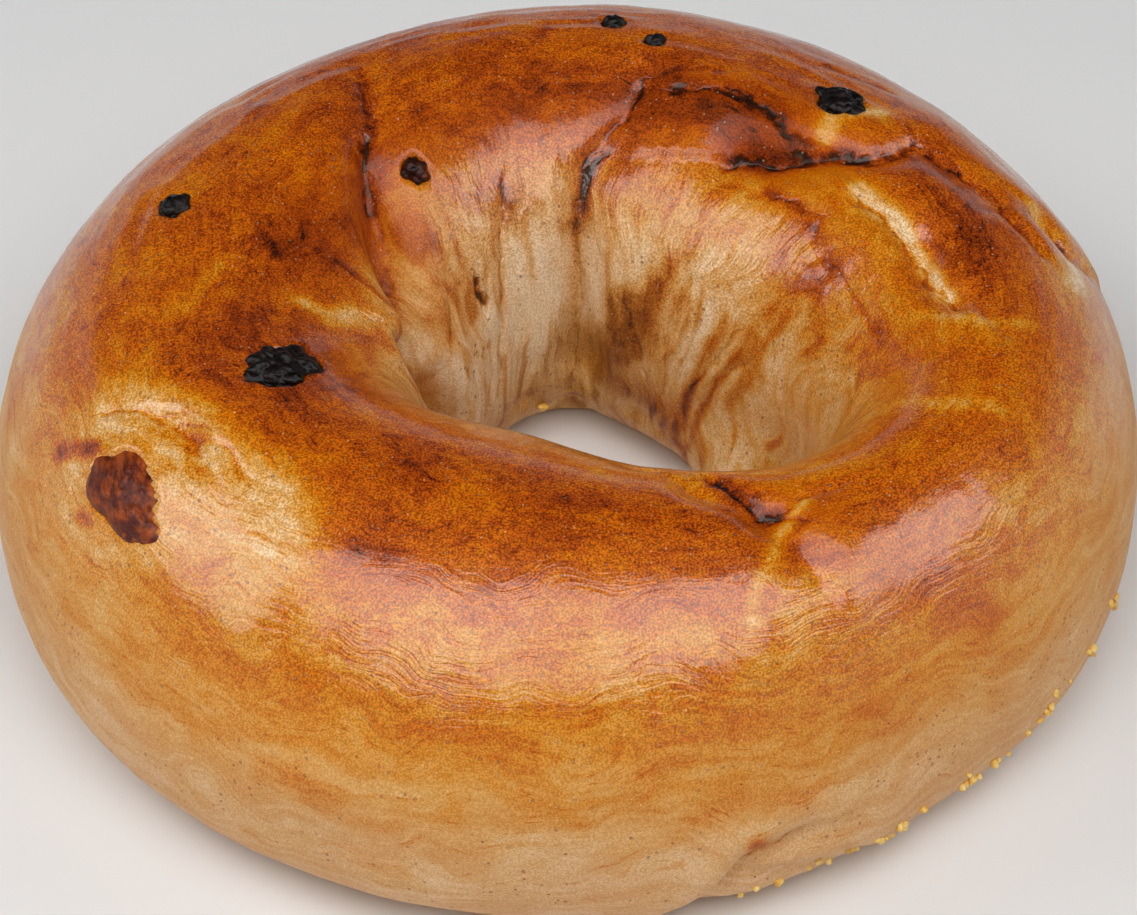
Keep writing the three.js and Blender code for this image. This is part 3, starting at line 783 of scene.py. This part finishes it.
def crust_material():
    s = Shader("crust")
    bake = s.attribute("bake")
    ring = s.attribute("ring", "Vector")
    ripples = s.attribute("ripples")
    streaks = s.attribute("streaks")
    glaze = s.attribute("glaze")
    flour_and_sheen = s.attribute("flour_and_sheen")

    ripple = s.noise(1000, 2.0, s.scaled(ring, (7.0, 7.0, 17.0)), 0.62)
    brush = s.noise(1000, 3.0, s.scaled(ring, (4.5, 4.5, 7.0)), 0.65)
    dash = s.spread(s.noise(1000, 3.0, s.scaled(ring, (13.0, 13.0, 26.0)), 0.6), 0.60, 0.68)
    fine_streak = s.noise(1000, 2.0, s.scaled(ring, (24.0, 24.0, 1.5)), 0.62)
    broad_streak = s.noise(1000, 1.0, s.scaled(ring, (9.0, 9.0, 1.0)), 0.6)
    streak = s.math("ADD", s.math("MULTIPLY", fine_streak, 0.4), s.math("MULTIPLY", broad_streak, 0.6))
    mottle = s.noise(6.0, 4.0, rough=0.6)
    blotch = s.noise(1.7, 2.0, rough=0.6)
    grain = s.noise(0.2, 0.5)

    outer = s.math("SUBTRACT", 1.0, streaks)
    uneven = s.spread(glaze, 0.0, 1.0, 0.4, 1.0)
    wander = s.spread(s.noise(2.6, 1.0, rough=0.55), 0.3, 0.7, -1.8, 1.8)
    offsets = s.node("ShaderNodeSeparateXYZ", {0: s.attribute("offsets", "Vector")}).outputs
    strengths = s.node("ShaderNodeSeparateXYZ", {0: s.attribute("strengths", "Vector")}).outputs
    dark_line_and_shade = 0.0
    for family in range(FAMILIES):
        across = s.spread(s.math("ABSOLUTE", s.math("ADD", offsets[family], wander)), 2.2, 0.2)
        dark_line_and_shade = s.math("MAXIMUM", dark_line_and_shade, s.math("MULTIPLY", across, strengths[family]))
    dark_line_and_shade = s.math("MULTIPLY", dark_line_and_shade, s.spread(blotch, 0.32, 0.52, 0.3, 1.0))

    # What makes the bake uneven, each with how much of it applies at a place.
    changes = [
        # Dark lines of folds and ran glaze, with painted shade in the wall's slit and under the torn crust.
        (dark_line_and_shade, 0.34),
        (s.spread(mottle, 0.34, 0.66, -0.05, 0.05), uneven),
        (s.spread(blotch, 0.36, 0.64, -0.04, 0.04), uneven),
        (s.spread(streak, 0.38, 0.62, -0.06, 0.08), streaks),
        (s.spread(broad_streak, 0.56, 0.70, 0.0, 0.20), streaks),
        (s.spread(brush, 0.36, 0.64, -0.06, 0.05), outer),
        (s.spread(ripple, 0.40, 0.60, 0.035, -0.025), ripples),
        (s.math("MULTIPLY", dash, 0.14), outer),
        (s.math("MULTIPLY", s.ridge(mottle, 0.016), 0.11), glaze),
        (s.spread(grain, 0.34, 0.66, 0.03, -0.03), 1.0),
    ]
    tone = bake
    for change, amount in changes:
        tone = s.math("ADD", tone, s.math("MULTIPLY", change, amount), clamp=True)
    unglazed = s.attribute("unglazed")
    colour = s.mix(unglazed, s.ramp(tone, CRUST_COLOURS), s.ramp(tone, WALL_COLOURS))
    # Flour, with painted sheen on the lower side, paling the crust.
    flour_and_sheen_cover = s.math("MULTIPLY", flour_and_sheen, s.spread(tone, 0.30, 0.62, 0.5, 0.10))
    colour = s.mix(flour_and_sheen_cover, colour, linear(FLOUR_AND_SHEEN))
    speckled = s.spread(s.noise(5.0, 2.0), 0.42, 0.60, 0.0, 0.85)
    colour = s.mix(s.math("MULTIPLY", s.dots(0.8, 0.13, 0.45), speckled), colour, linear(DARK_PORE))
    colour = s.mix(s.math("MULTIPLY", s.dots(0.8, 0.09, 0.5), 0.25), colour, linear(PALE_PORE))
    contrast = s.math("MULTIPLY", s.spread(tone, 0.3, 0.6, 0.22, 0.40), uneven)
    sparkle = s.math("MULTIPLY", s.spread(grain, 0.3, 0.7, -1.0, 1.0), contrast)
    brightness = s.math("ADD", sparkle, 1.0)
    colour = s.node("ShaderNodeVectorMath", {0: colour, "Scale": brightness}, operation="SCALE")

    patchy = s.spread(s.noise(11.0, 0.0), 0.4, 0.6, 0.25, 1.0)
    normal = s.bumped(
        (s.math("MULTIPLY", s.math("MULTIPLY", ripples, patchy), ripple), 0.22),
        (dark_line_and_shade, -0.15),
        (s.math("MULTIPLY", streaks, streak), 0.6),
        (blotch, 0.04),
        (grain, 0.009),
    )
    s.set(s.surface, "Coat Weight", glaze)
    return s.finish(
        Base_Color=colour.outputs[0],
        Roughness=s.spread(grain, 0.2, 0.8, 0.46, 0.62),
        Normal=normal,
        Specular_IOR_Level=0.15,
        Specular_Tint=(1.0, 0.62, 0.3, 1),
        Coat_Roughness=0.15,
        Coat_IOR=1.65,
        Coat_Normal=normal,
    )


def raisin_material(name, dark, light, fibres=1.0):
    """Wrinkled raisin skin, streaked along its length where it is torn open."""
    s = Shader(name)
    blotch = s.noise(1.2, 4.0, s.scaled(s.place(), (1.0, 1.0 / fibres, 1.0)), 0.65)
    colour = s.mix(s.spread(blotch, 0.40, 0.68), linear(dark), linear(light))
    normal = s.bumped((s.noise(0.45, 3.0), 0.14))
    return s.finish(
        Base_Color=colour,
        Roughness=s.spread(blotch, 0.3, 0.7, 0.35, 0.6),
        Normal=normal,
        Specular_IOR_Level=0.2,
        Coat_Weight=0.12,
        Coat_Roughness=0.10,
    )


def cornmeal_material():
    s = Shader("cornmeal")
    colour = s.mix(s.spread(s.noise(1.2, 2.0), 0.35, 0.65), *[linear(shade) for shade in CORNMEAL])
    return s.finish(Base_Color=colour, Roughness=0.55)


# Grains of cornmeal that stuck to the crust, mostly at the lower right edge: the middle of each group, how
# far it scatters round the ring and over the dough, and how many grains it has.
CORNMEAL_GROUPS = [
    ((344, -8), (4, 3), 3),
    ((336, -12), (6, 3), 7),
    ((326, -18), (6, 3), 6),
    ((316, -24), (6, 3), 10),
    ((306, -28), (6, 3), 9),
    ((297, -26), (4, 3), 4),
    ((288, -32), (4, 2), 3),
    ((100, 205), (3, 2), 2),
]


def cornmeal_piece(material):
    points, faces = [], []
    for (around, over), scatter, count in CORNMEAL_GROUPS:
        for _ in range(count):
            at_around = around + random.gauss(0, scatter[0] * 0.6)
            at_over = over + random.gauss(0, scatter[1] * 1.2)
            centre, _, out = crust_points(np.array([at_around]), np.array([at_over]))
            centre = centre[0] + out[0] * 0.12
            centre[2] = max(centre[2] - SETTLED, 0.45)
            size = random.uniform(0.3, 0.55)
            stone = bmesh.new()
            bmesh.ops.create_icosphere(stone, subdivisions=2, radius=1)
            first = len(points)
            squash = np.array([random.uniform(0.7, 1.2) for _ in range(3)])
            for vertex in stone.verts:
                chipped = 1 + 0.25 * random.uniform(-1, 1)
                points.append(centre + np.array(vertex.co) * squash * size * chipped)
            faces += [[first + v.index for v in face.verts] for face in stone.faces]
            stone.free()
    piece = new_piece("cornmeal", np.array(points) * MM, faces, material)
    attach(piece, "root")
    return piece


# The lights aim at a point low in the ring, in metres.
LIT_POINT = (0, 0, 0.02)


def soft_light(name, place, width, depth, power):
    lamp = bpy.data.lights.new(name, "AREA")
    lamp.shape = "RECTANGLE"
    lamp.size, lamp.size_y = width, depth
    lamp.energy = power
    holder = bpy.data.objects.new(name, lamp)
    holder.location = place
    holder.rotation_euler = (Vector(LIT_POINT) - Vector(place)).to_track_quat("-Z", "Y").to_euler()
    bpy.context.scene.collection.objects.link(holder)
    return holder


# How bright the studio is round the object, by height above the horizon as the sine of the angle: pale
# walls at the horizon, dark above them, and a little light straight overhead.
STUDIO_GREYS = [(0.0, 0.52), (0.15, 0.38), (0.32, 0.05), (0.80, 0.02), (1.0, 0.08)]


def studio():
    world = bpy.data.worlds.new("studio")
    world.use_nodes = True
    nodes, links = world.node_tree.nodes, world.node_tree.links
    way = nodes.new("ShaderNodeSeparateXYZ")
    ramp = nodes.new("ShaderNodeValToRGB")
    links.new(nodes.new("ShaderNodeTexCoord").outputs["Generated"], way.inputs[0])
    links.new(way.outputs["Z"], ramp.inputs["Fac"])
    links.new(ramp.outputs["Color"], nodes["Background"].inputs["Color"])
    while len(ramp.color_ramp.elements) < len(STUDIO_GREYS):
        ramp.color_ramp.elements.new(0.5)
    for element, (height, grey) in zip(ramp.color_ramp.elements, STUDIO_GREYS):
        element.position = height
        element.color = (grey, grey, grey, 1)
    bpy.context.scene.world = world
    bpy.context.scene.view_settings.view_transform = "Standard"
    overhead = soft_light("overhead softbox", (0, -0.30, 0.58), 0.62, 0.40, 3.45)
    overhead.visible_glossy = False
    cards = [
        soft_light("gloss card", (0, -0.41, 0.53), 0.95, 0.60, 4.8),
        soft_light("left gloss card", (-0.62, -0.20, 0.42), 0.36, 0.45, 1.5),
        soft_light("right gloss card", (0.62, -0.20, 0.42), 0.36, 0.45, 1.5),
    ]
    for card in cards:
        card.visible_diffuse = False
    for name, side, power in (("left fill", -1, 1.6), ("right fill", 1, 0.8)):
        fill = soft_light(name, (side * 0.60, 0.0, 0.50), 0.4, 0.5, power)
        fill.visible_glossy = False

    floor = Shader("floor").finish(Base_Color=(0.80, 0.80, 0.80, 1), Roughness=0.7)
    half = 1.5
    corners = [(-half, -half, 0), (half, -half, 0), (half, half, 0), (-half, half, 0)]
    new_piece("floor", corners, [[0, 1, 2, 3]], floor, smooth=False)


# The camera looks down at a point in the ring. Lens in mm, the rest in metres and degrees.
LENS = 137.67
SENSOR_WIDTH = 36
CAMERA_AIM = (-0.00033, -0.00475, 0.020)
CAMERA_DISTANCE = 0.450
CAMERA_TILT = 45


def camera():
    lens = bpy.data.cameras.new("camera")
    lens.sensor_fit = "HORIZONTAL"
    lens.sensor_width = SENSOR_WIDTH
    lens.lens = LENS
    holder = bpy.data.objects.new("camera", lens)
    tilt = radians(CAMERA_TILT)
    holder.location = Vector(CAMERA_AIM) + CAMERA_DISTANCE * Vector((0, -cos(tilt), sin(tilt)))
    holder.rotation_euler = (radians(90 - CAMERA_TILT), 0, 0)
    bpy.context.scene.collection.objects.link(holder)
    bpy.context.scene.camera = holder


camera()
studio()
crust_piece(crust_material())
raisin_dark = raisin_material("raisin_dark", 0x050302, 0x120604)
raisin_red = raisin_material("raisin_red", 0x4A1202, 0x9C4406, 3.0)
raisin_brown = raisin_material("raisin_brown", 0x1A0604, 0x54200C)
skins = {"raisin_blister": raisin_red, "raisin_hole": raisin_brown}
for raisin in RAISINS:
    raisin_piece(raisin, skins.get(raisin, raisin_dark))
cornmeal_piece(cornmeal_material())
